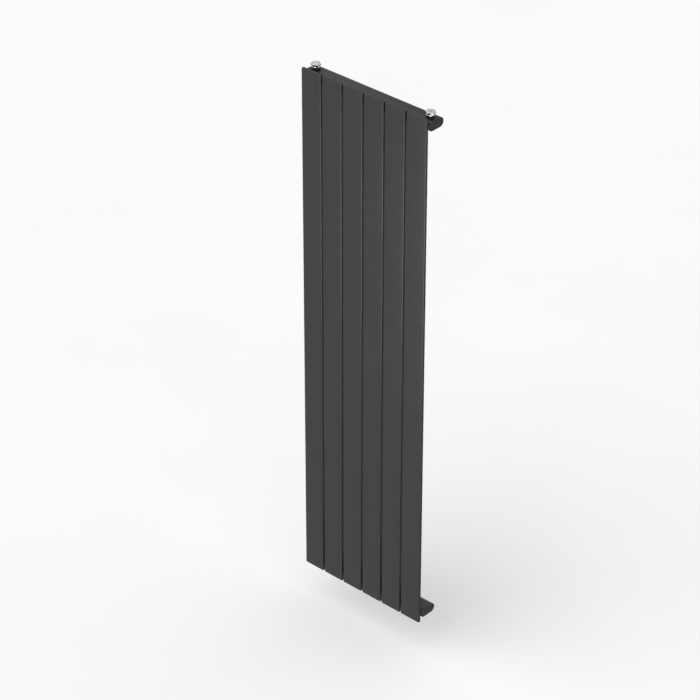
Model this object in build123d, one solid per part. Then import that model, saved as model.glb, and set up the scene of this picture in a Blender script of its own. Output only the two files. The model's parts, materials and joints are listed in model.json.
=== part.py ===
from build123d import *
import os
from math import sqrt

# A wall-hung vertical flat-panel radiator. Millimetres, +Z up.
# The origin is the centre of the wall fixing pattern: y = 0 is the wall, the room is at -Y,
# x = 0 is the middle of the width and z = 0 the middle of the height.

# Panel tubes
panel_count = 6
panel_width = 76.0
panel_gap = 6.0
panel_depth = 10.0
panel_height = 1800.0
panel_wall = 1.5
panel_edge_radius = 2.4
panel_cap_thickness = 2.0
panel_cap_edge_radius = 0.6

# Distance from the wall to the panels' front face
front_distance = 100.0

# Headers: flat-oval tubes across the back of the panels
header_depth = 63.0
header_height = 31.0
header_wall = 2.0
header_inset = 12.5
header_overhang = 2.5
header_cap_thickness = 2.0
header_cap_edge_radius = 0.5

# Short sockets that carry the water between a panel and a header
socket_radius = 8.0
socket_wall = 1.5
socket_reach_in_panel = 2.5
socket_reach_in_header = 7.0

# Threaded bosses
boss_inset = 20.0
boss_radius = 13.0
boss_height = 10.0
boss_edge_radius = 0.6
top_boss_bore_radius = 10.2
top_boss_spigot_radius = 11.5
bottom_boss_bore_radius = 9.3
bottom_boss_port_radius = 8.0

# Air vent and blanking plug
trim_ring_radius = 14.0
trim_ring_height = 2.6
trim_ring_bore_radius = 10.3
trim_ring_edge_radius = 0.5
seal_height = 1.2
seal_centre_radius = 12.2
hex_across_flats = 28.0
hex_height = 5.2
hex_corner_chamfer = 0.9
spigot_radius = 10.15
spigot_length = 13.0
plug_socket_across_flats = 10.0
plug_socket_depth = 4.5

# Bleed screw, in the middle of the air vent
bleed_recess_radius = 4.6
bleed_recess_depth = 3.2
bleed_square = 5.0
bleed_square_height = 2.9
bleed_shank_radius = 2.5
bleed_running_clearance = 0.05
bleed_shank_length = 10.0
bleed_tip_length = 1.2
bleed_tip_radius = 1.3
bleed_water_radius = 1.5
bleed_outlet_radius = 0.9
bleed_outlet_drop = 4.4

# Hanging straps, welded to the backs of the second and fifth panel
hung_panels = (1, 4)
strap_thickness = 2.5
strap_pocket_width = 34.0
strap_pocket_depth = 7.6
strap_flange = 14.0
strap_height = 50.0
strap_bend_radius = 1.8

# Wall brackets: a foot on the wall, a hook arm that slides on it and a plastic sleeve
fixing_height = 770.0
plate_thickness = 3.0
plate_width = 44.0
plate_corner_radius = 4.0
plate_bend_radius = 3.0
foot_height = 70.0
foot_reach = 60.0
foot_slot_height = 50.0
foot_slot_width = 8.5
foot_slot_length = 16.0
foot_hole_height = 25.0
foot_hole_radius = 3.25
arm_lift = 25.0
arm_rear_gap = 20.0
arm_gap = 0.1
tongue_width = 28.0
tongue_height = 20.0
sleeve_clearance = 0.3
sleeve_height = 19.0
sleeve_flange_width = 40.0
sleeve_flange_height = 2.5
sleeve_flange_reach = 1.0
sleeve_top_chamfer = 1.2
depth_travel = 6.0
arm_slot_play = 1.0

# M8 clamp bolts, washers and nuts
bolt_radius = 4.0
bolt_clearance = 0.3
bolt_distance = 45.0
bolt_across_flats = 13.0
bolt_head_height = 5.3
bolt_edge_chamfer = 0.5
nut_height = 6.5
washer_radius = 8.0
washer_thickness = 1.6
bolt_end_length = 3.0

# Worked out from the above
half_height = panel_height / 2
array_width = panel_count * panel_width + (panel_count - 1) * panel_gap
panel_front = -front_distance
panel_back = panel_front + panel_depth
panel_middle = panel_front + panel_depth / 2
header_middle = panel_back + header_depth / 2
header_level = half_height - header_inset - header_height / 2
header_half_length = array_width / 2 + header_overhang
header_tube_half_length = header_half_length - header_cap_thickness
header_top = half_height - header_inset
boss_x = array_width / 2 - boss_inset
boss_top = header_top + boss_height
seal_bottom = boss_top + trim_ring_height
hex_bottom = seal_bottom + seal_height
hex_top = hex_bottom + hex_height
sleeve_width = strap_pocket_width - 2 * sleeve_clearance
sleeve_depth = strap_pocket_depth - 2 * sleeve_clearance
tongue_front = panel_back + sleeve_clearance + (sleeve_depth - plate_thickness) / 2
slot_length = 2 * (bolt_radius + bolt_clearance + depth_travel + arm_slot_play)

LOW = (Align.CENTER, Align.CENTER, Align.MIN)
HIGH = (Align.CENTER, Align.CENTER, Align.MAX)

# Two places nearer than this are the same
tolerance = 0.01


def panel_x(index):
    """The middle of a panel, counted from the left."""
    return (index - (panel_count - 1) / 2) * (panel_width + panel_gap)


def save(name, shape):
    """One STEP file for one node; a list of solids becomes a group."""
    if isinstance(shape, list):
        shape = Compound(children=shape)
    export_step(shape, f"parts/{name}.step")


def drum(radius, height, x, y, bottom):
    """An upright cylinder that stands at a given height."""
    return Pos(x, y, bottom) * Cylinder(radius, height, align=LOW)


def hexagon(across_flats, height, x, y, bottom):
    """An upright hexagonal prism with two of its flats facing left and right."""
    outline = Rot(0, 0, 30) * RegularPolygon(across_flats / 2, 6, major_radius=False)
    return Pos(x, y, bottom) * extrude(outline, amount=height)


def chamfered_hexagon(across_flats, height, chamfer_size, x, y, bottom):
    """A hexagon whose top corners are turned off by a cone."""
    corner_radius = across_flats / sqrt(3)
    top_radius = corner_radius - chamfer_size
    cone_height = 2 * corner_radius
    cone = Cone(top_radius + cone_height, top_radius, cone_height, align=HIGH)
    return hexagon(across_flats, height, x, y, bottom) & Pos(x, y, bottom + height) * cone


def panel_outline(shrink):
    """The panel tube's section, shrunk by a wall thickness."""
    radius = panel_edge_radius - shrink
    return RectangleRounded(panel_width - 2 * shrink, panel_depth - 2 * shrink, radius)


def cross_drill(radius, x, z, start, length):
    """A horizontal cylinder that runs from y = start towards the wall."""
    return Pos(x, start, z) * Rot(-90, 0, 0) * Cylinder(radius, length, align=LOW)


# ---------------------------------------------------------------- panels


def panel_tube(index):
    """A flat tube with one water port in its back at each header."""
    length = panel_height - 2 * panel_cap_thickness
    section = panel_outline(0) - panel_outline(panel_wall)
    tube = Pos(panel_x(index), panel_middle, -length / 2) * extrude(section, amount=length)
    for level in (-header_level, header_level):
        tube -= cross_drill(socket_radius, panel_x(index), level, panel_middle, panel_depth)
    return tube


def panel_cap(index, side):
    """The plate that closes a panel tube, with a softened outer edge."""
    plate = extrude(panel_outline(0), amount=panel_cap_thickness)
    plate = fillet(plate.faces().sort_by(Axis.Z)[-1].edges(), panel_cap_edge_radius)
    if side < 0:
        plate = Rot(180, 0, 0) * plate
    return Pos(panel_x(index), panel_middle, side * (half_height - panel_cap_thickness)) * plate


def socket(index, level):
    """A short water socket between one panel and one header."""
    start = panel_back - socket_reach_in_panel
    length = socket_reach_in_panel + socket_reach_in_header
    pipe = cross_drill(socket_radius, panel_x(index), level, start, length)
    return pipe - cross_drill(socket_radius - socket_wall, panel_x(index), level, start, length)


# --------------------------------------------------------------- headers


def header_outline(shrink):
    """The header's flat-oval section, standing in the YZ plane."""
    return Plane.YZ * SlotOverall(header_depth - 2 * shrink, header_height - 2 * shrink)


def header_tube(side):
    """The flat-oval tube with its water ports and its two boss holes."""
    level = side * header_level
    section = header_outline(0) - header_outline(header_wall)
    length = 2 * header_tube_half_length
    tube = Pos(-length / 2, header_middle, level) * extrude(section, amount=length)
    for index in range(panel_count):
        tube -= cross_drill(socket_radius, panel_x(index), level, panel_back - header_wall, header_depth / 3)
    hole_radius = top_boss_spigot_radius if side > 0 else bottom_boss_port_radius
    outside = level + side * header_height / 2
    for x in (-boss_x, boss_x):
        tube -= Pos(x, header_middle, outside) * Cylinder(hole_radius, 3 * header_wall)
    return tube


def header_cap(side, end):
    """The plate that closes a header end. Its outer edge is softened."""
    plate = extrude(header_outline(0), amount=header_cap_thickness)
    plate = fillet(plate.faces().sort_by(Axis.X)[-1].edges(), header_cap_edge_radius)
    if end < 0:
        plate = Rot(0, 0, 180) * plate
    return Pos(end * header_tube_half_length, header_middle, side * header_level) * plate


def top_boss(x):
    """A boss on the top header, with a spigot in the header's wall."""
    ring = drum(boss_radius, boss_height, 0, 0, 0)
    ring = fillet(ring.edges().filter_by(GeomType.CIRCLE).sort_by(Axis.Z)[-1], boss_edge_radius)
    boss = ring + drum(top_boss_spigot_radius, header_wall, 0, 0, -header_wall)
    boss -= drum(top_boss_bore_radius, boss_height + header_wall, 0, 0, -header_wall)
    return Pos(x, header_middle, header_top) * boss


def bottom_boss(x):
    """A valve boss under the bottom header, with its mouth facing down."""
    ring = drum(boss_radius, boss_height, 0, 0, 0)
    ring = fillet(ring.edges().filter_by(GeomType.CIRCLE).sort_by(Axis.Z)[0], boss_edge_radius)
    ring -= drum(bottom_boss_bore_radius, boss_height, 0, 0, 0)
    return Pos(x, header_middle, -header_top - boss_height) * ring


# ---------------------------------------------------- air vent and plug


def trim_ring(x):
    """The chrome ring between a boss and the fitting's seal."""
    ring = drum(trim_ring_radius, trim_ring_height, 0, 0, 0)
    ring = fillet(ring.edges().filter_by(GeomType.CIRCLE), trim_ring_edge_radius)
    ring -= drum(trim_ring_bore_radius, trim_ring_height, 0, 0, 0)
    return Pos(x, header_middle, boss_top) * ring


def seal(x):
    """The O-ring under the fitting's hexagon."""
    return Pos(x, header_middle, seal_bottom + seal_height / 2) * Torus(seal_centre_radius, seal_height / 2)


def fitting_blank(x):
    """The hexagon head and the spigot that both fittings share."""
    head = chamfered_hexagon(hex_across_flats, hex_height, hex_corner_chamfer, x, header_middle, hex_bottom)
    return head + drum(spigot_radius, spigot_length, x, header_middle, hex_bottom - spigot_length)


def vent_body(x):
    """The air vent: a stepped bore for the bleed screw and a small side outlet."""
    floor = hex_top - bleed_recess_depth
    seat = floor - bleed_shank_length - bleed_tip_length
    bore_radius = bleed_shank_radius + bleed_running_clearance
    body = fitting_blank(x)
    body -= drum(bleed_recess_radius, bleed_recess_depth, x, header_middle, floor)
    body -= drum(bore_radius, floor - seat, x, header_middle, seat)
    body -= drum(bleed_water_radius, spigot_length, x, header_middle, seat - spigot_length)
    outlet_level = hex_top - bleed_outlet_drop
    outlet_start = header_middle - hex_across_flats
    return body - cross_drill(bleed_outlet_radius, x, outlet_level, outlet_start, hex_across_flats)


def bleed_screw(x):
    """The screw that opens the vent: a square for the key, a shank and a tapered tip."""
    floor = hex_top - bleed_recess_depth
    square_bottom = floor + bleed_running_clearance
    shank_bottom = square_bottom - bleed_shank_length
    square = Box(bleed_square, bleed_square, bleed_square_height, align=LOW)
    shank = drum(bleed_shank_radius, bleed_shank_length, x, header_middle, shank_bottom)
    tip = Cone(bleed_tip_radius, bleed_shank_radius, bleed_tip_length, align=HIGH)
    return Pos(x, header_middle, square_bottom) * square + shank + Pos(x, header_middle, shank_bottom) * tip


def plug_body(x):
    """The blanking plug, with a hexagon socket in its head."""
    floor = hex_top - plug_socket_depth
    return fitting_blank(x) - hexagon(plug_socket_across_flats, plug_socket_depth, x, header_middle, floor)


# ------------------------------------------------------- hanging straps


def strap_bottom(side):
    """The height of a strap's lower edge, where it rests on its sleeve."""
    return arm_shoulder(side) + sleeve_flange_height + arm_gap


def hanging_strap(x, side):
    """A hat-shaped steel strap: two welded flanges and a pocket that drops over a tongue."""
    inner = strap_pocket_width / 2
    outer = inner + strap_thickness
    foot = outer + strap_flange
    low = strap_thickness
    high = strap_pocket_depth
    top = high + strap_thickness
    right_half = [(foot, 0), (foot, low), (outer, low), (outer, top)]
    left_half = [(-across, out) for across, out in reversed(right_half)]
    pocket = [(-inner, 0), (-inner, high), (inner, high), (inner, 0)]
    outline = make_face(Polyline(*right_half, *left_half, *pocket, close=True))
    corners = [v for v in outline.vertices() if abs(v.Y - top) < tolerance]
    outline = fillet(corners, strap_bend_radius)
    return Pos(x, panel_back, strap_bottom(side)) * extrude(outline, amount=strap_height)


# -------------------------------------------------------- wall brackets


def foot_bottom(side):
    """The height of the underside of a wall foot's leg."""
    return side * fixing_height - foot_slot_height


def arm_shoulder(side):
    """The height of the arm's shoulders, where the sleeve sits."""
    return foot_bottom(side) + plate_thickness + arm_gap + arm_lift


def angle_profile(reach, height):
    """An L of bent plate in the YZ plane: a leg along +Y and an upright at its start."""
    t = plate_thickness
    points = [(0, 0), (reach, 0), (reach, t), (t, t), (t, height), (0, height)]
    face = make_face(Polyline(*points, close=True))
    inner = [v for v in face.vertices() if abs(v.X - t) < tolerance and abs(v.Y - t) < tolerance]
    face = fillet(inner, plate_bend_radius)
    outer = [v for v in face.vertices() if abs(v.X) < tolerance and abs(v.Y) < tolerance]
    return Plane.YZ * fillet(outer, plate_bend_radius + t)


def angle_plate(reach, height):
    """The bent plate, centred on x = 0, with rounded free corners."""
    plate = extrude(angle_profile(reach, height), amount=plate_width / 2, both=True)
    leg_end = plate.edges().filter_by(Axis.Z).group_by(Axis.Y)[-1]
    return fillet(leg_end, plate_corner_radius)


def wall_foot(x, side):
    """The foot: an upright plate on the wall and a leg that carries the arm."""
    plate = angle_plate(foot_reach, foot_height)
    upright_corners = plate.edges().filter_by(Axis.Y).group_by(Axis.Z)[-1]
    plate = Rot(0, 0, 180) * fillet(upright_corners, plate_corner_radius)
    slot = Plane.XZ * SlotOverall(foot_slot_length, foot_slot_width)
    plate -= Pos(0, 0, foot_slot_height) * extrude(slot, amount=plate_thickness * 2, both=True)
    plate -= cross_drill(foot_hole_radius, 0, foot_hole_height, -plate_thickness * 2, plate_thickness * 4)
    plate -= Pos(0, -bolt_distance, 0) * Cylinder(bolt_radius + bolt_clearance, plate_thickness * 4)
    return Pos(x, 0, foot_bottom(side)) * plate


def hook_arm(x, side):
    """The arm: a slotted leg, wide shoulders and a narrower tongue."""
    reach = -tongue_front - arm_rear_gap
    shoulder = arm_lift
    arm = angle_plate(reach, shoulder + tongue_height)
    beside = (plate_width - tongue_width) / 2
    for end in (-1, 1):
        middle = end * (tongue_width + beside) / 2
        arm -= Pos(middle, 0, shoulder) * Box(beside, plate_thickness * 4, tongue_height, align=LOW)
    slot = Rot(0, 0, 90) * SlotOverall(slot_length, 2 * (bolt_radius + bolt_clearance))
    slot_y = -bolt_distance - tongue_front
    arm -= Pos(0, slot_y, 0) * extrude(slot, amount=plate_thickness * 2, both=True)
    return Pos(x, tongue_front, foot_bottom(side) + plate_thickness + arm_gap) * arm


def arm_sleeve(x, side):
    """The plastic sleeve on a tongue; the strap rests on its flange."""
    front = panel_back + sleeve_clearance
    middle = front + sleeve_depth / 2
    flange_depth = strap_pocket_depth + strap_thickness + sleeve_flange_reach - sleeve_clearance
    base = arm_shoulder(side)
    body = Box(sleeve_width, sleeve_depth, sleeve_height, align=LOW)
    body = chamfer(body.faces().sort_by(Axis.Z)[-1].edges(), sleeve_top_chamfer)
    sleeve = Pos(x, middle, base) * body
    flange = Box(sleeve_flange_width, flange_depth, sleeve_flange_height, align=LOW)
    sleeve += Pos(x, front + flange_depth / 2, base) * flange
    tongue_middle = tongue_front + plate_thickness / 2
    return sleeve - Pos(x, tongue_middle, base) * Box(tongue_width, plate_thickness, tongue_height, align=LOW)


def clamp_bolt(x, side):
    """The bolt that clamps the arm on the foot, with its head below."""
    under = foot_bottom(side)
    length = 2 * plate_thickness + 2 * arm_gap + washer_thickness + nut_height + bolt_end_length
    shank = drum(bolt_radius, length, 0, 0, 0)
    shank = chamfer(shank.edges().filter_by(GeomType.CIRCLE).sort_by(Axis.Z)[-1], bolt_edge_chamfer)
    head = chamfered_hexagon(bolt_across_flats, bolt_head_height, bolt_edge_chamfer, 0, 0, 0)
    return Pos(x, -bolt_distance, under) * (shank + Rot(180, 0, 0) * head)


def washer_bottom(side):
    """The height of a washer's underside, just clear of the arm."""
    return foot_bottom(side) + 2 * plate_thickness + 2 * arm_gap


def clamp_washer(x, side):
    """The washer between the arm and the nut."""
    disc = drum(washer_radius, washer_thickness, x, -bolt_distance, washer_bottom(side))
    return disc - drum(bolt_radius, washer_thickness, x, -bolt_distance, washer_bottom(side))


def clamp_nut(x, side):
    """The nut on top of the washer."""
    bottom = washer_bottom(side) + washer_thickness
    nut = chamfered_hexagon(bolt_across_flats, nut_height, bolt_edge_chamfer, x, -bolt_distance, bottom)
    return nut - drum(bolt_radius, nut_height, x, -bolt_distance, bottom)


# ------------------------------------------------------------ all nodes

os.makedirs("parts", exist_ok=True)

for index in range(panel_count):
    save(f"panel_tube_{index + 1}", panel_tube(index))
    save(f"panel_top_cap_{index + 1}", panel_cap(index, 1))
    save(f"panel_bottom_cap_{index + 1}", panel_cap(index, -1))

for level_name, side in (("top", 1), ("bottom", -1)):
    save(f"{level_name}_header_tube", header_tube(side))
    save(f"{level_name}_sockets", [socket(index, side * header_level) for index in range(panel_count)])
    for end_name, end in (("left", -1), ("right", 1)):
        save(f"{level_name}_header_cap_{end_name}", header_cap(side, end))

save("plug_boss", top_boss(-boss_x))
save("plug_trim_ring", trim_ring(-boss_x))
save("plug_seal", seal(-boss_x))
save("plug_body", plug_body(-boss_x))

save("vent_boss", top_boss(boss_x))
save("vent_trim_ring", trim_ring(boss_x))
save("vent_seal", seal(boss_x))
save("vent_body", vent_body(boss_x))
save("bleed_screw", bleed_screw(boss_x))

save("flow_boss", bottom_boss(-boss_x))
save("return_boss", bottom_boss(boss_x))

places = []
for level_name, side in (("top", 1), ("bottom", -1)):
    for end_name, panel in zip(("left", "right"), hung_panels):
        places.append((f"{level_name}_{end_name}", panel_x(panel), side))

for place, x, side in places:
    save(f"hanging_strap_{place}", hanging_strap(x, side))
    save(f"arm_sleeve_{place}", arm_sleeve(x, side))
    save(f"hook_arm_{place}", hook_arm(x, side))
    save(f"wall_foot_{place}", wall_foot(x, side))

save("clamp_bolts", [clamp_bolt(x, side) for _, x, side in places])
save("clamp_washers", [clamp_washer(x, side) for _, x, side in places])
save("clamp_nuts", [clamp_nut(x, side) for _, x, side in places])
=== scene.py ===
import json
import math

import bmesh
import bpy
from mathutils import Matrix, Vector


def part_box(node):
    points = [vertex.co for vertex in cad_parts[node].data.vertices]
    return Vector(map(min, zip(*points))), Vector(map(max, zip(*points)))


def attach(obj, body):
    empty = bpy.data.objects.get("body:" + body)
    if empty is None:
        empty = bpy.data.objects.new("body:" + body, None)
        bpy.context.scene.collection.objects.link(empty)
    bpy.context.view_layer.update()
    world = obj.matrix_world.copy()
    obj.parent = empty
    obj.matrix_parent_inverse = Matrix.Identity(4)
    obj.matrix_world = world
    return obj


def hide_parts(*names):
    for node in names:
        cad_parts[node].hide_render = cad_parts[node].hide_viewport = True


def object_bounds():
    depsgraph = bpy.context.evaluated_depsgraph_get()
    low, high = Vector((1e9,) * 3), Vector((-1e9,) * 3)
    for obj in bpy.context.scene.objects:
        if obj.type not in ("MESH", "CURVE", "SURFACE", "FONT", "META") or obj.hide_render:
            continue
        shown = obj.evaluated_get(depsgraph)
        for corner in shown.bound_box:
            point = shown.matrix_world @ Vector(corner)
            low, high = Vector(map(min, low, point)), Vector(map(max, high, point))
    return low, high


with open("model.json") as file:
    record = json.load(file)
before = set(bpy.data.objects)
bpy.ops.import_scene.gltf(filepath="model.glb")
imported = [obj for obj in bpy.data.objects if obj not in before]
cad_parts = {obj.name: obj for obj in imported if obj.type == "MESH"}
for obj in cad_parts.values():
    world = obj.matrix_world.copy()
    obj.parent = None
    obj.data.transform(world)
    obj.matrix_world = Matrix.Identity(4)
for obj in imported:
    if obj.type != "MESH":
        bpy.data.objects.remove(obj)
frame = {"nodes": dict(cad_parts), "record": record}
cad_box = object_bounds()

# The camera, from the middle of the panels' front face
CAMERA_AZIMUTH = 42.2
CAMERA_ELEVATION = 32.63
CAMERA_DISTANCE = 9.021
CAMERA_LENS = 152.1
CAMERA_SIDEWAYS = -0.0370
CAMERA_RAISE = 0.0182

# The studio: a surround that is brighter on one side, a broad overhead light,
# and upright softboxes as (bearing, width, power)
SURROUND_BRIGHT_SIDE = (0.167, -0.69, 0.705)
SURROUND_STRENGTHS = (0.24, 1.08)
OVERHEAD_FROM = (-0.3, -0.6, 0.75)
OVERHEAD_STRENGTH = 0.6
OVERHEAD_SPREAD = 60
SOFTBOXES = {
    "front_strip": (-4, 0.56, 11),
    "side_strip": (49, 1.05, 27),
    "back_strip": (200, 1.7, 8),
}
SOFTBOX_DISTANCE = 2.0
SOFTBOX_HEIGHT = 1.2
SOFTBOX_MIDDLE = -0.32

# The floor lies this far below the radiator, which hangs on a wall
FLOOR_DROP = 0.12

MM = 0.001
PANEL_EDGE = 2.4 * MM
SEAM_ROUND = 0.15 * MM
CAP_ROUND = 0.6 * MM
HEADER_CAP_ROUND = 0.6 * MM

# Weld beads: ripples along them, and where they lie
BEAD_STEP = 0.4 * MM
BEAD_PITCH = 2.2 * MM
BEAD_RIPPLE = 0.16
PANEL_WELD_OFFSET = 7.0 * MM
PANEL_WELD_MARGIN = 6.0 * MM
BOSS_BEAD = 1.5 * MM
END_BEAD = 0.8 * MM
END_BEAD_SUNK = 0.3 * MM
STRAP_BEAD = 1.6 * MM
STRAP_WELD_LENGTH = 14.0 * MM

# Trim rings: the height of their upright rim as a share of the whole, and the slope above it
TRIM_BORE = 10.3 * MM
TRIM_RIM = 0.3
TRIM_SLOPE = 1.2 * MM
TRIM_ROUND = 0.2 * MM

# Threads: G1/2 in the bottom bosses and M8 on the clamp bolts
PIPE_CREST = 9.3 * MM
PIPE_THREAD_DEPTH = 1.1 * MM
PIPE_PITCH = 1.814 * MM
BOSS_ROUND = 0.6 * MM
BOLT_RADIUS = 4.0 * MM
BOLT_THREAD_DEPTH = 0.65 * MM
BOLT_PITCH = 1.25 * MM
RINGS_PER_TURN = 8
WASHER_ROUND = 0.25 * MM
WASHER_PLAY = 0.3 * MM
HEX_FACE = 0.96
HEX_CORNER = 0.985
HEX_CHAMFER_SLOPE = 0.577

LEVELS = ("top", "bottom")
ENDS = ("left", "right")
PANELS = range(1, 7)
PLACES = [f"{level}_{end}" for level in LEVELS for end in ENDS]

# How wide the broken edges are on pieces that otherwise keep their CAD shape
EDGE_BREAKS = {
    "top_header_tube": 0.2 * MM,
    "bottom_header_tube": 0.2 * MM,
    "plug_boss": 0.5 * MM,
    "vent_boss": 0.5 * MM,
    "plug_seal": 0.05 * MM,
    "vent_seal": 0.05 * MM,
    "plug_body": 0.3 * MM,
    "vent_body": 0.3 * MM,
    "bleed_screw": 0.3 * MM,
}
for place in PLACES:
    EDGE_BREAKS[f"hanging_strap_{place}"] = 0.5 * MM
    EDGE_BREAKS[f"hook_arm_{place}"] = 0.4 * MM
    EDGE_BREAKS[f"wall_foot_{place}"] = 0.4 * MM
    EDGE_BREAKS[f"arm_sleeve_{place}"] = 0.5 * MM

node_slot = {part["node"]: part["material_slot"] for part in frame["record"]["subparts"]}
node_body = {
    node: body
    for body, members in frame["record"]["behaviour"]["bodies"].items()
    for node in members
}


# ------------------------------------------------------------ materials


class Recipe:
    """A Principled material with short ways to add nodes to it."""

    def __init__(self, name):
        self.material = bpy.data.materials.new(name)
        self.material.use_nodes = True
        self.tree = self.material.node_tree
        self.shader = self.tree.nodes["Principled BSDF"]
        self.place = self.add("ShaderNodeTexCoord").outputs["Object"]

    def add(self, kind, **settings):
        node = self.tree.nodes.new(kind)
        for name, value in settings.items():
            setattr(node, name, value)
        return node

    def link(self, source, target):
        self.tree.links.new(source, target)

    def set(self, **values):
        """Numbers that are the same all over, on the shader's own sockets."""
        for name, value in values.items():
            self.shader.inputs[name.replace("_", " ")].default_value = value

    def noise(self, scale, detail=2.0, roughness=0.5, stretch=None):
        """Noise between 0 and 1, at a number of waves per metre."""
        texture = self.add("ShaderNodeTexNoise")
        texture.inputs["Scale"].default_value = scale
        texture.inputs["Detail"].default_value = detail
        texture.inputs["Roughness"].default_value = roughness
        source = self.place
        if stretch:
            mapping = self.add("ShaderNodeMapping")
            mapping.inputs["Scale"].default_value = stretch
            self.link(source, mapping.inputs["Vector"])
            source = mapping.outputs["Vector"]
        self.link(source, texture.inputs["Vector"])
        return texture.outputs["Fac"]

    def spread(self, value, low, high, start=0.3, end=0.7):
        """A value from start to end, spread over low to high."""
        node = self.add("ShaderNodeMapRange")
        node.inputs["From Min"].default_value = start
        node.inputs["From Max"].default_value = end
        node.inputs["To Min"].default_value = low
        node.inputs["To Max"].default_value = high
        self.link(value, node.inputs["Value"])
        return node.outputs["Result"]

    def math(self, operation, first, second):
        node = self.add("ShaderNodeMath", operation=operation)
        for socket, value in zip(node.inputs, (first, second)):
            if isinstance(value, (int, float)):
                socket.default_value = value
            else:
                self.link(value, socket)
        return node.outputs["Value"]

    def mix(self, factor, first, second):
        """A colour between two colours."""
        node = self.add("ShaderNodeMix", data_type="RGBA")
        self.link(factor, node.inputs["Factor"])
        for socket, value in ((node.inputs[6], first), (node.inputs[7], second)):
            if isinstance(value, tuple):
                socket.default_value = (*value, 1)
            else:
                self.link(value, socket)
        return node.outputs[2]

    def bump(self, height, depth, below=None):
        """Surface relief, with its depth in metres."""
        node = self.add("ShaderNodeBump")
        node.inputs["Strength"].default_value = 1.0
        node.inputs["Distance"].default_value = depth
        self.link(height, node.inputs["Height"])
        if below:
            self.link(below, node.inputs["Normal"])
        return node.outputs["Normal"]

    def facing_up(self):
        """1 on level upward faces, 0 on steep ones."""
        split = self.add("ShaderNodeSeparateXYZ")
        self.link(self.add("ShaderNodeNewGeometry").outputs["Normal"], split.inputs["Vector"])
        return self.spread(split.outputs["Z"], 0, 1, 0.75, 1.0)

    def edges(self, radius):
        """1 along sharp edges, 0 on flat faces."""
        bevel = self.add("ShaderNodeBevel", samples=4)
        bevel.inputs["Radius"].default_value = radius
        dot = self.add("ShaderNodeVectorMath", operation="DOT_PRODUCT")
        self.link(bevel.outputs["Normal"], dot.inputs[0])
        self.link(self.add("ShaderNodeNewGeometry").outputs["Normal"], dot.inputs[1])
        return self.spread(dot.outputs["Value"], 1, 0, 0.75, 0.98)

    def finish(self, color, roughness, normal):
        self.link(color, self.shader.inputs["Base Color"])
        self.link(roughness, self.shader.inputs["Roughness"])
        self.link(normal, self.shader.inputs["Normal"])
        return self.material


def powder_coat():
    """Anthracite satin powder coat: fine orange peel, faint mottling and a little dust on top."""
    recipe = Recipe("powder_coat")
    recipe.set(Specular_IOR_Level=0.5)
    patches = recipe.noise(5, 3)
    grain = recipe.noise(900, 2, 0.6)
    base = recipe.mix(recipe.spread(patches, 0, 1), (0.0170, 0.0170, 0.0162), (0.0195, 0.0195, 0.0186))
    base = recipe.mix(recipe.spread(grain, 0, 0.5, 0.45, 0.75), base, (0.028, 0.028, 0.027))
    dust = recipe.math("MULTIPLY", recipe.facing_up(), recipe.spread(recipe.noise(60, 4, 0.65), 0.0, 0.008))
    base = recipe.mix(dust, base, (0.20, 0.19, 0.175))
    roughness = recipe.math("ADD", recipe.spread(recipe.noise(35, 4), 0.33, 0.40), recipe.math("MULTIPLY", dust, 0.6))
    peel = recipe.bump(recipe.noise(420, 1.5, 0.4), 0.00006)
    normal = recipe.bump(grain, 0.00002, peel)
    return recipe.finish(base, roughness, normal)


def bracket_coat():
    """Semi-matt black coat on the brackets, rubbed through to steel along the edges."""
    recipe = Recipe("bracket_coat")
    grain = recipe.noise(1100, 2, 0.6)
    base = recipe.mix(recipe.spread(recipe.noise(22, 3), 0, 1), (0.024, 0.024, 0.024), (0.034, 0.034, 0.033))
    chips = recipe.math("MULTIPLY", recipe.edges(0.0008), recipe.spread(recipe.noise(300, 4, 0.7), 0, 1, 0.5, 0.62))
    base = recipe.mix(chips, base, (0.34, 0.34, 0.35))
    recipe.link(recipe.math("MULTIPLY", chips, 0.9), recipe.shader.inputs["Metallic"])
    roughness = recipe.math("SUBTRACT", recipe.spread(grain, 0.50, 0.62), recipe.math("MULTIPLY", chips, 0.2))
    normal = recipe.bump(grain, 0.00004, recipe.bump(recipe.noise(260, 2), 0.00008))
    return recipe.finish(base, roughness, normal)


def chrome():
    """Bright chrome with faint polishing marks and finger smears."""
    recipe = Recipe("chrome")
    recipe.set(Metallic=1.0)
    base = recipe.mix(recipe.spread(recipe.noise(120, 3), 0, 1), (0.90, 0.905, 0.91), (0.95, 0.953, 0.955))
    smears = recipe.spread(recipe.noise(180, 4, 0.6), 0.04, 0.09, 0.42, 0.75)
    marks = recipe.noise(700, 3, 0.6, stretch=(1, 1, 0.12))
    return recipe.finish(base, smears, recipe.bump(marks, 0.000004))


def seal_rubber():
    """Black moulded rubber with a dusty bloom."""
    recipe = Recipe("seal_rubber")
    bloom = recipe.noise(500, 4, 0.6)
    base = recipe.mix(recipe.spread(bloom, 0, 1, 0.4, 0.8), (0.010, 0.010, 0.010), (0.035, 0.034, 0.032))
    return recipe.finish(base, recipe.spread(bloom, 0.62, 0.85), recipe.bump(recipe.noise(2500, 2), 0.00002))


def plated_brass():
    """Nickel-plated brass with machining lines, rubbed yellow along its edges by the key."""
    recipe = Recipe("plated_brass")
    recipe.set(Metallic=1.0)
    dull = recipe.noise(400, 4, 0.6)
    base = recipe.mix(recipe.spread(dull, 0, 1, 0.4, 0.8), (0.66, 0.65, 0.61), (0.52, 0.51, 0.48))
    rubbed = recipe.math("MULTIPLY", recipe.edges(0.0003), recipe.spread(recipe.noise(900, 3), 0, 0.8, 0.45, 0.6))
    base = recipe.mix(rubbed, base, (0.66, 0.46, 0.20))
    lines = recipe.noise(500, 2, 0.5, stretch=(1, 1, 8))
    return recipe.finish(base, recipe.spread(dull, 0.18, 0.36), recipe.bump(lines, 0.00001))


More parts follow.
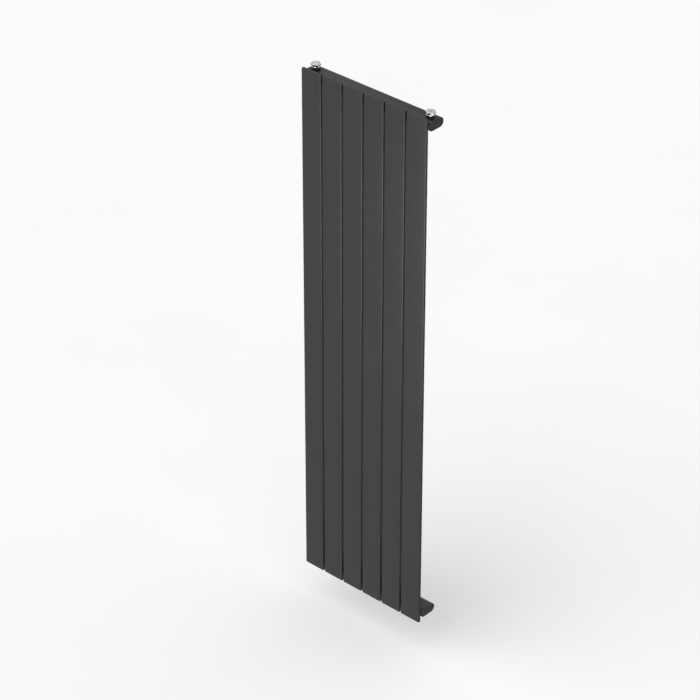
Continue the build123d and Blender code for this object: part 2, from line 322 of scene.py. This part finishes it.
def sleeve_nylon():
    """Moulded black nylon with a fine spark-eroded texture."""
    recipe = Recipe("sleeve_nylon")
    recipe.set(Specular_IOR_Level=0.45)
    texture = recipe.noise(1800, 3, 0.6)
    base = recipe.mix(recipe.spread(recipe.noise(90, 3), 0, 1), (0.016, 0.016, 0.017), (0.026, 0.026, 0.027))
    return recipe.finish(base, recipe.spread(texture, 0.42, 0.58), recipe.bump(texture, 0.00003))


def zinc_steel():
    """Zinc-plated steel with a cool, mottled passivation."""
    recipe = Recipe("zinc_steel")
    recipe.set(Metallic=1.0)
    flow = recipe.noise(140, 4, 0.6)
    base = recipe.mix(recipe.spread(flow, 0, 1), (0.50, 0.53, 0.57), (0.63, 0.61, 0.54))
    return recipe.finish(base, recipe.spread(flow, 0.26, 0.42), recipe.bump(recipe.noise(900, 3), 0.00001))


def floor_finish():
    """A plain pale studio floor."""
    recipe = Recipe("floor")
    recipe.set(Specular_IOR_Level=0.2)
    base = recipe.mix(recipe.spread(recipe.noise(1.5, 3), 0, 1), (0.96, 0.96, 0.955), (0.98, 0.98, 0.975))
    return recipe.finish(base, recipe.spread(recipe.noise(4, 2), 0.85, 0.95), recipe.bump(recipe.noise(80, 3), 0.0001))


FINISHES = {
    make.__name__: make()
    for make in (powder_coat, bracket_coat, chrome, seal_rubber, plated_brass, sleeve_nylon, zinc_steel)
}


# ------------------------------------------------------- mesh building


def piece(name, mesh, like, replaced=(), smooth_below=40):
    """A finished object that rides and is painted like a CAD node, and may stand for some."""
    bmesh.ops.recalc_face_normals(mesh, faces=mesh.faces)
    data = bpy.data.meshes.new(name)
    mesh.to_mesh(data)
    mesh.free()
    data.polygons.foreach_set("use_smooth", [True] * len(data.polygons))
    data.set_sharp_from_angle(angle=math.radians(smooth_below))
    data.materials.append(FINISHES[node_slot[like]])
    shape = bpy.data.objects.new(name, data)
    bpy.context.scene.collection.objects.link(shape)
    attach(shape, node_body[like])
    if replaced:
        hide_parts(*replaced)
    return shape


def bridge(mesh, rings, loop=False):
    """Faces between rings of points, with the two ends closed, or joined when it is a loop."""
    rows = [[mesh.verts.new(point) for point in ring] for ring in rings]
    count = len(rows[0])
    pairs = list(zip(rows, rows[1:]))
    if loop:
        pairs.append((rows[-1], rows[0]))
    for first, second in pairs:
        for index in range(count):
            after = (index + 1) % count
            mesh.faces.new((first[index], first[after], second[after], second[index]))
    if not loop:
        mesh.faces.new(rows[0])
        mesh.faces.new(reversed(rows[-1]))


def corner_points(radius, inset, centre, start, steps):
    """A quarter arc."""
    points = []
    for step in range(steps + 1):
        angle = math.radians(start + 90 * step / steps)
        reach = radius - inset
        points.append((centre[0] + reach * math.cos(angle), centre[1] + reach * math.sin(angle)))
    return points


def rounded_outline(width, height, radius, inset=0.0, steps=6):
    """The points of a rounded rectangle about the origin, drawn in by an inset."""
    across = width / 2 - radius
    along = height / 2 - radius
    centres = ((across, along), (-across, along), (-across, -along), (across, -along))
    points = []
    for turn, centre in enumerate(centres):
        points += corner_points(radius, inset, centre, 90 * turn, steps)
    return points


def softened(node, width, segments=2, sharper_than=35):
    """A CAD node's shape with its sharp edges rounded."""
    mesh = bmesh.new()
    mesh.from_mesh(frame["nodes"][node].data)
    bmesh.ops.remove_doubles(mesh, verts=mesh.verts, dist=1e-6)
    bmesh.ops.dissolve_limit(mesh, angle_limit=math.radians(0.5), verts=mesh.verts, edges=mesh.edges)
    sharp = [
        edge for edge in mesh.edges
        if edge.is_manifold and edge.calc_face_angle() > math.radians(sharper_than)
    ]
    bmesh.ops.bevel(
        mesh, geom=sharp, offset=width, segments=segments, profile=0.5, affect="EDGES", clamp_overlap=True
    )
    return mesh


def turned(mesh, rings, centre, steps, loop=False):
    """A body around an upright axis. Each ring is a height and a radius, which may depend on the angle."""
    rows = []
    for radius, height in rings:
        row = []
        for step in range(steps):
            angle = 2 * math.pi * step / steps
            reach = radius(angle) if callable(radius) else radius
            row.append((centre[0] + reach * math.cos(angle), centre[1] + reach * math.sin(angle), height))
        rows.append(row)
    bridge(mesh, rows, loop)


# --------------------------------------------------------------- studio


def build_camera():
    """A long lens above and to the right of the radiator."""
    target = Vector((0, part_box("panel_tube_1")[0].y, 0))
    azimuth = math.radians(CAMERA_AZIMUTH)
    elevation = math.radians(CAMERA_ELEVATION)
    back = Vector((
        math.sin(azimuth) * math.cos(elevation),
        -math.cos(azimuth) * math.cos(elevation),
        math.sin(elevation),
    ))
    right = Vector((math.cos(azimuth), math.sin(azimuth), 0))
    up = back.cross(right)
    lens = bpy.data.cameras.new("camera")
    lens.lens = CAMERA_LENS
    lens.sensor_width = 36
    lens.clip_end = 60
    view = bpy.data.objects.new("camera", lens)
    view.matrix_world = Matrix((right, up, back)).transposed().to_4x4()
    view.location = target + back * CAMERA_DISTANCE + right * CAMERA_SIDEWAYS + up * CAMERA_RAISE
    bpy.context.scene.collection.objects.link(view)
    bpy.context.scene.camera = view


def softbox(name, bearing, width, power):
    """An upright softbox that faces the radiator, seen only in its glossy surfaces."""
    lamp = bpy.data.lights.new(name, "AREA")
    lamp.shape = "RECTANGLE"
    lamp.size = width
    lamp.size_y = SOFTBOX_HEIGHT
    lamp.energy = power
    box = bpy.data.objects.new(name, lamp)
    away = Vector((math.sin(bearing), -math.cos(bearing), 0))
    box.location = away * SOFTBOX_DISTANCE + Vector((0, 0, SOFTBOX_MIDDLE))
    box.rotation_euler = away.to_track_quat("Z", "Y").to_euler()
    box.visible_camera = False
    box.visible_diffuse = False
    bpy.context.scene.collection.objects.link(box)


def build_studio():
    """The floor, an even pale surround and the softboxes."""
    mesh = bmesh.new()
    bmesh.ops.create_grid(mesh, x_segments=1, y_segments=1, size=30)
    data = bpy.data.meshes.new("floor")
    mesh.to_mesh(data)
    mesh.free()
    data.materials.append(floor_finish())
    floor = bpy.data.objects.new("floor", data)
    floor.location.z = cad_box[0][2] - FLOOR_DROP
    bpy.context.scene.collection.objects.link(floor)

    # Only the even surround is seen in glossy surfaces, not the floor
    floor.visible_glossy = False

    world = bpy.data.worlds.new("studio")
    world.use_nodes = True
    tree = world.node_tree
    dot = tree.nodes.new("ShaderNodeVectorMath")
    dot.operation = "DOT_PRODUCT"
    dot.inputs[1].default_value = SURROUND_BRIGHT_SIDE
    tree.links.new(tree.nodes.new("ShaderNodeTexCoord").outputs["Generated"], dot.inputs[0])
    ramp = tree.nodes.new("ShaderNodeMapRange")
    ramp.inputs["From Min"].default_value = -1
    ramp.inputs["To Min"].default_value, ramp.inputs["To Max"].default_value = SURROUND_STRENGTHS
    tree.links.new(dot.outputs["Value"], ramp.inputs["Value"])
    tree.links.new(ramp.outputs["Result"], tree.nodes["Background"].inputs["Strength"])
    tree.nodes["Background"].inputs["Color"].default_value = (1, 1, 1, 1)
    bpy.context.scene.world = world

    sun = bpy.data.lights.new("overhead", "SUN")
    sun.energy = OVERHEAD_STRENGTH
    sun.angle = math.radians(OVERHEAD_SPREAD)
    overhead = bpy.data.objects.new("overhead", sun)
    overhead.rotation_euler = Vector(OVERHEAD_FROM).to_track_quat("Z", "Y").to_euler()
    bpy.context.scene.collection.objects.link(overhead)
    for name, (bearing, width, power) in SOFTBOXES.items():
        softbox(name, math.radians(bearing), width, power)
    bpy.context.scene.view_settings.view_transform = "Standard"


# --------------------------------------------------------------- pieces


def span(node):
    """The middle and the full size of a CAD node's box."""
    low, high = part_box(node)
    return (low + high) / 2, high - low


def rims(low, high, low_radius, high_radius, steps=4):
    """Places along a bar with rounded rims, each with how far the outline is drawn in there."""
    places = []
    for step in range(steps + 1):
        angle = math.radians(90 * step / steps)
        places.append((low + low_radius * (1 - math.cos(angle)), low_radius * (1 - math.sin(angle))))
    for step in reversed(range(steps + 1)):
        angle = math.radians(90 * step / steps)
        places.append((high - high_radius * (1 - math.cos(angle)), high_radius * (1 - math.sin(angle))))
    return places


def panel_tubes_and_caps():
    """Flat steel panels with rounded long edges, closed by welded caps that leave a fine seam."""
    for number in PANELS:
        for node, low_rim, high_rim in (
            (f"panel_tube_{number}", SEAM_ROUND, SEAM_ROUND),
            (f"panel_top_cap_{number}", SEAM_ROUND, CAP_ROUND),
            (f"panel_bottom_cap_{number}", CAP_ROUND, SEAM_ROUND),
        ):
            middle, size = span(node)
            low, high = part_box(node)
            rings = []
            for height, inset in rims(low.z, high.z, low_rim, high_rim):
                outline = rounded_outline(size.x, size.y, PANEL_EDGE, inset, steps=8)
                rings.append([(middle.x + x, middle.y + y, height) for x, y in outline])
            mesh = bmesh.new()
            bridge(mesh, rings)
            piece(f"{node}_skin", mesh, node, [node])


def header_ends():
    """Flat-oval plates that close the headers, with a rounded rim."""
    for level in LEVELS:
        for end in ENDS:
            node = f"{level}_header_cap_{end}"
            middle, size = span(node)
            low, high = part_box(node)
            outer_low = end == "left"
            low_rim = HEADER_CAP_ROUND if outer_low else SEAM_ROUND
            high_rim = SEAM_ROUND if outer_low else HEADER_CAP_ROUND
            rings = []
            for along, inset in rims(low.x, high.x, low_rim, high_rim):
                outline = rounded_outline(size.y, size.z, size.z / 2, inset, steps=24)
                rings.append([(along, middle.y + y, middle.z + z) for y, z in outline])
            mesh = bmesh.new()
            bridge(mesh, rings)
            piece(f"{node}_plate", mesh, node, [node])


def bead(mesh, spine, radius, closed=False, around=10):
    """A rippled weld bead. The spine is a list of points, each with the two directions across it."""
    rings = []
    last = len(spine) - 1
    walked = 0.0
    before = spine[0][0]
    for number, (point, first, second) in enumerate(spine):
        walked += (point - before).length
        before = point
        ripple = 1 - BEAD_RIPPLE * ((walked / BEAD_PITCH) % 1) ** 2
        taper = 1.0 if closed else min(1.0, 0.25 + 0.75 * min(number, last - number) / 4)
        ring = []
        for step in range(around):
            angle = 2 * math.pi * step / around
            across = first * math.cos(angle) + second * math.sin(angle)
            ring.append(point + across * radius * ripple * taper)
        rings.append(ring)
    bridge(mesh, rings, closed)


def straight_spine(start, end, first, second):
    """A spine with points half a millimetre apart."""
    count = max(2, round((end - start).length / BEAD_STEP))
    return [(start.lerp(end, number / count), first, second) for number in range(count + 1)]


def ring_spine(centre, radius):
    """A spine around an upright axis."""
    count = round(2 * math.pi * radius / BEAD_STEP)
    spine = []
    for number in range(count):
        angle = 2 * math.pi * number / count
        outward = Vector((math.cos(angle), math.sin(angle), 0))
        spine.append((centre + outward * radius, outward, Vector((0, 0, 1))))
    return spine


def header_welds():
    """Beads where each panel meets a header, around each boss and around each header end."""
    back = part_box("panel_tube_1")[1].y
    for level in LEVELS:
        header, size = span(f"{level}_header_tube")
        nose = size.z / 2
        mesh = bmesh.new()
        for number in PANELS:
            panel, panel_size = span(f"panel_tube_{number}")
            reach = panel_size.x / 2 - PANEL_WELD_MARGIN
            for side in (-1, 1):
                gap = nose - math.sqrt(nose ** 2 - PANEL_WELD_OFFSET ** 2)
                where = Vector((0, back + gap / 2, header.z + side * PANEL_WELD_OFFSET))
                start = where + Vector((panel.x - reach, 0, 0))
                end = where + Vector((panel.x + reach, 0, 0))
                bead(mesh, straight_spine(start, end, Vector((0, 1, 0)), Vector((0, 0, 1))), gap)
        bosses = ("plug_boss", "vent_boss") if level == "top" else ("flow_boss", "return_boss")
        for boss in bosses:
            middle, boss_size = span(boss)
            low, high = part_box(boss)
            foot = low.z if level == "top" else high.z
            bead(mesh, ring_spine(Vector((middle.x, middle.y, foot)), boss_size.x / 2), BOSS_BEAD, True)
        for end in ENDS:
            low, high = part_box(f"{level}_header_tube")
            along = low.x if end == "left" else high.x
            outline = rounded_outline(size.y, size.z, nose, END_BEAD_SUNK, steps=40)
            spine = []
            for y, z in outline:
                sideways = max(-size.y / 2 + nose, min(size.y / 2 - nose, y))
                outward = Vector((0, y - sideways, z)).normalized()
                spine.append((Vector((along, header.y + y, header.z + z)), Vector((1, 0, 0)), outward))
            spine = evenly(spine)
            bead(mesh, spine, END_BEAD, True)
        piece(f"{level}_header_welds", mesh, f"{level}_header_tube", smooth_below=70)


def evenly(spine):
    """The same closed spine with its long steps divided."""
    result = []
    for here, after in zip(spine, spine[1:] + spine[:1]):
        count = max(1, round((after[0] - here[0]).length / BEAD_STEP))
        for number in range(count):
            share = number / count
            outward = here[2].lerp(after[2], share).normalized()
            result.append((here[0].lerp(after[0], share), here[1], outward))
    return result


def strap_welds():
    """Stitch welds along both sides of each hanging strap."""
    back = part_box("panel_tube_1")[1].y
    mesh = bmesh.new()
    for place in PLACES:
        middle, size = span(f"hanging_strap_{place}")
        for side in (-1, 1):
            for shift in (-1, 1):
                centre = Vector((middle.x + side * size.x / 2, back, middle.z + shift * size.z / 4))
                half = Vector((0, 0, STRAP_WELD_LENGTH / 2))
                spine = straight_spine(centre - half, centre + half, Vector((1, 0, 0)), Vector((0, 1, 0)))
                bead(mesh, spine, STRAP_BEAD)
    piece("strap_welds", mesh, "hanging_strap_top_left", smooth_below=70)


def softened_copies():
    """Pieces that keep their CAD shape, with their sharp edges broken."""
    for node, width in EDGE_BREAKS.items():
        piece(f"{node}_detail", softened(node, width), node, [node], smooth_below=30)


def thread_depth(height, angle, pitch, depth):
    """How deep a V thread is cut at a height and an angle, with flats at its crest and root."""
    share = (height / pitch - angle / (2 * math.pi)) % 1
    return depth * min(1.0, max(0.0, 1.4 * abs(2 * share - 1) - 0.2))


def thread_rings(low, high, crest, pitch, depth):
    """Rings of a helical thread. A positive depth cuts outward, a negative one inward."""
    count = math.ceil((high - low) / pitch * RINGS_PER_TURN)
    rings = []
    for number in range(count + 1):
        height = low + (high - low) * number / count
        rings.append((lambda angle, height=height: crest + thread_depth(height, angle, pitch, depth), height))
    return rings


def trim_rings():
    """Chrome rings under the fittings, with a sloping shoulder that catches the light."""
    for node in ("plug_trim_ring", "vent_trim_ring"):
        middle, size = span(node)
        low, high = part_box(node)
        outer = size.x / 2
        shoulder = low.z + size.z * TRIM_RIM
        rings = [(TRIM_BORE, low.z)]
        for height, inset in rims(low.z, shoulder, TRIM_ROUND, TRIM_ROUND):
            rings.append((outer - inset, height))
        rings += [(outer - TRIM_SLOPE, high.z - TRIM_ROUND), (outer - TRIM_SLOPE - TRIM_ROUND, high.z)]
        rings.append((TRIM_BORE, high.z))
        mesh = bmesh.new()
        turned(mesh, rings, middle, 96, loop=True)
        piece(f"{node}_shouldered", mesh, node, [node], smooth_below=50)


def pipe_bosses():
    """Bosses under the bottom header, with a female pipe thread inside."""
    for node in ("flow_boss", "return_boss"):
        middle, size = span(node)
        low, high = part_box(node)
        radius = size.x / 2
        mouth = PIPE_CREST + PIPE_THREAD_DEPTH
        rings = [(radius, high.z), (radius, low.z + BOSS_ROUND)]
        for height, inset in reversed(rims(low.z, high.z, BOSS_ROUND, 0)[:4]):
            rings.append((radius - inset, height))
        rings += [(mouth, low.z), (PIPE_CREST, low.z + PIPE_THREAD_DEPTH)]
        rings += thread_rings(low.z + PIPE_PITCH, high.z - PIPE_PITCH / 2, PIPE_CREST, PIPE_PITCH, PIPE_THREAD_DEPTH)
        rings.append((PIPE_CREST, high.z))
        mesh = bmesh.new()
        turned(mesh, rings, middle, 96, loop=True)
        piece(f"{node}_threaded", mesh, node, [node])


def hexagon(across_flats, limit):
    """A ring's radius at an angle, for a hexagon with two flats facing along x, turned off at a limit."""
    def radius(angle):
        from_flat = (angle + math.pi / 6) % (math.pi / 3) - math.pi / 6
        return min(across_flats / 2 / math.cos(from_flat), limit)
    return radius


def turned_hexagon(across_flats, low, high, low_chamfer, high_chamfer):
    """The rings of a hexagon whose corners are turned off by cones."""
    washer = across_flats / 2 * HEX_FACE
    corner = across_flats / math.sqrt(3) * HEX_CORNER
    rise = (corner - washer) * HEX_CHAMFER_SLOPE
    rings = []
    for step in range(4) if low_chamfer else (3,):
        share = step / 3
        rings.append((hexagon(across_flats, washer + (corner - washer) * share), low + rise * share * low_chamfer))
    for step in reversed(range(4)) if high_chamfer else (3,):
        share = step / 3
        rings.append((hexagon(across_flats, washer + (corner - washer) * share), high - rise * share * high_chamfer))
    return rings


def clamp_hardware():
    """M8 bolts, nuts and washers that hold each arm to its wall foot."""
    spots = []
    for place in PLACES:
        low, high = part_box(f"wall_foot_{place}")
        bolts, size = span("clamp_bolts")
        spots.append(Vector(((low.x + high.x) / 2, bolts.y, low.z)))
    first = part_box("wall_foot_top_left")[0].z
    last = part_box("wall_foot_bottom_left")[0].z
    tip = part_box("clamp_bolts")[1].z - first
    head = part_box("clamp_bolts")[0].z - last
    nut = (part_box("clamp_nuts")[0].z - last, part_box("clamp_nuts")[1].z - first)
    washer = (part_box("clamp_washers")[0].z - last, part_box("clamp_washers")[1].z - first)
    across_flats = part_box("clamp_nuts")[1].x - spots[-1].x
    washer_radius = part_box("clamp_washers")[1].x - spots[-1].x

    bolts, nuts, washers = bmesh.new(), bmesh.new(), bmesh.new()
    for spot in spots:
        base = spot.z
        shank = [(BOLT_RADIUS, base + 0.5 * BOLT_PITCH)]
        shank += thread_rings(
            base + BOLT_PITCH, base + tip - BOLT_PITCH, BOLT_RADIUS, BOLT_PITCH, -BOLT_THREAD_DEPTH
        )
        shank += [(BOLT_RADIUS - BOLT_THREAD_DEPTH / 2, base + tip - 0.5 * BOLT_PITCH)]
        shank += [(BOLT_RADIUS - 1.2 * BOLT_THREAD_DEPTH, base + tip)]
        turned(bolts, turned_hexagon(2 * across_flats, base + head, base, 1, 0) + shank, spot, 48)
        rings = turned_hexagon(2 * across_flats, base + nut[0], base + nut[1], 1, 1)
        rings += [(BOLT_RADIUS + BOLT_THREAD_DEPTH, base + nut[1]), (BOLT_RADIUS, base + nut[1] - BOLT_THREAD_DEPTH)]
        rings += [(BOLT_RADIUS, base + nut[0])]
        turned(nuts, rings, spot, 48, loop=True)
        rings = [(washer_radius - inset, base + height) for height, inset in rims(*washer, WASHER_ROUND, WASHER_ROUND)]
        rings += [(BOLT_RADIUS + WASHER_PLAY, base + washer[1]), (BOLT_RADIUS + WASHER_PLAY, base + washer[0])]
        turned(washers, rings, spot, 48, loop=True)
    for name, mesh in (("clamp_bolts", bolts), ("clamp_nuts", nuts), ("clamp_washers", washers)):
        piece(f"{name}_threaded" if name != "clamp_washers" else "clamp_washers_rounded", mesh, name, [name], 30)


for name, shape in frame["nodes"].items():
    for index in range(len(shape.data.materials)):
        shape.data.materials[index] = FINISHES[node_slot[name]]

panel_tubes_and_caps()
header_ends()
header_welds()
strap_welds()
softened_copies()
trim_rings()
pipe_bosses()
clamp_hardware()

build_camera()
build_studio()
